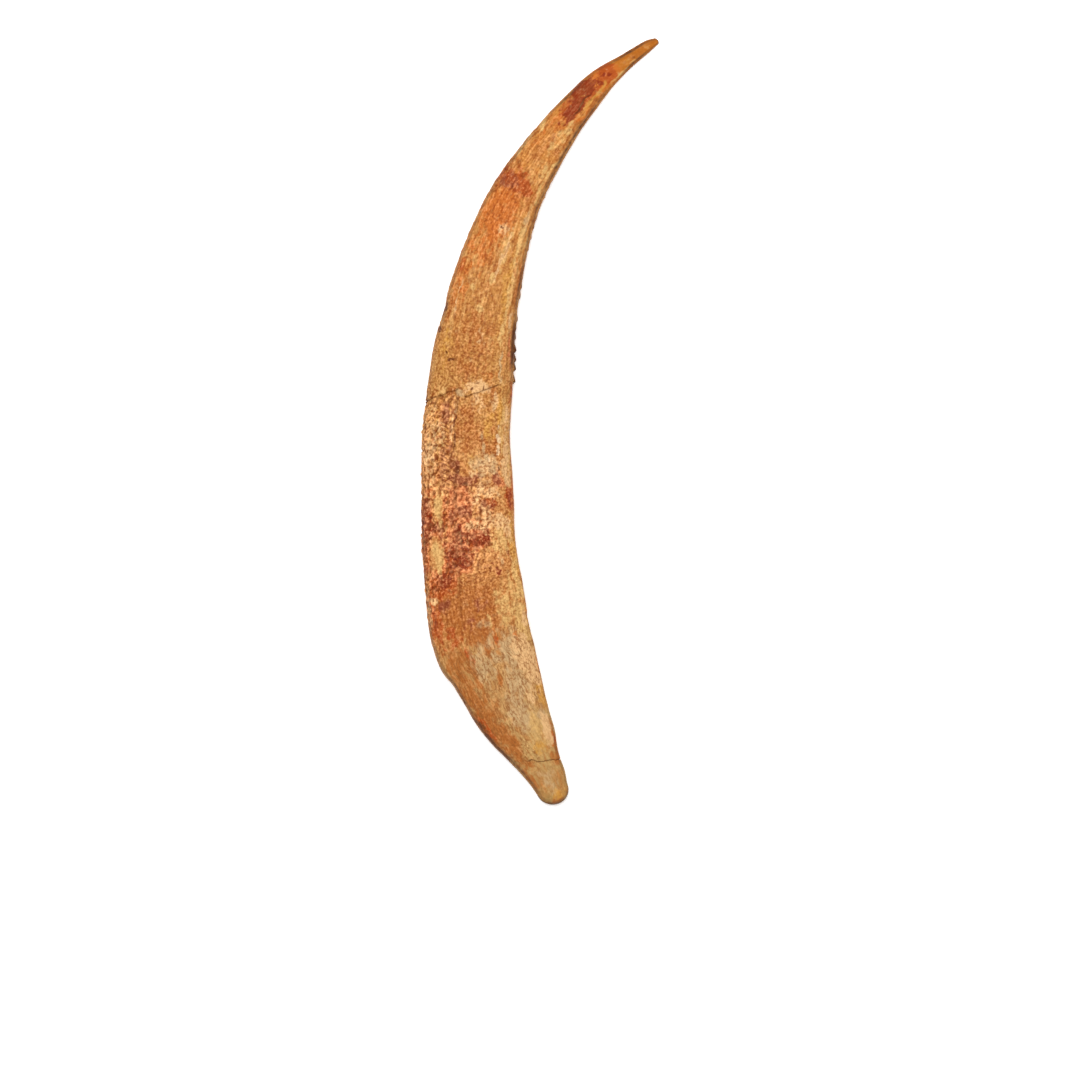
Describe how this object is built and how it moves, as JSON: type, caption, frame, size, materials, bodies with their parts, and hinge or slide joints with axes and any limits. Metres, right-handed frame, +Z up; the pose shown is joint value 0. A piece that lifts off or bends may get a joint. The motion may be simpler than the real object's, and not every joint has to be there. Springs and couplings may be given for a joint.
{
  "type": "fossil shark fin spine",
  "caption": "Long, gently curved fossil fin spine with a ribbed, pitted crown, small hooks on the trailing edge and a smooth tapered root, lying on its flank.",
  "frame": {"origin": "on the surface the spine lies on, under the middle of its box", "axes": "+Z up, out of the upper flank; +Y from the root towards the tip, along the spine's length; +X towards the trailing, concave side"},
  "size_m": [0.0742, 0.2398, 0.0164],
  "materials": {
    "fossil_bone": "matte"
  },
  "bodies": {
    "root": {"fin_spine": "fossil_bone"}
  },
  "joints": []
}
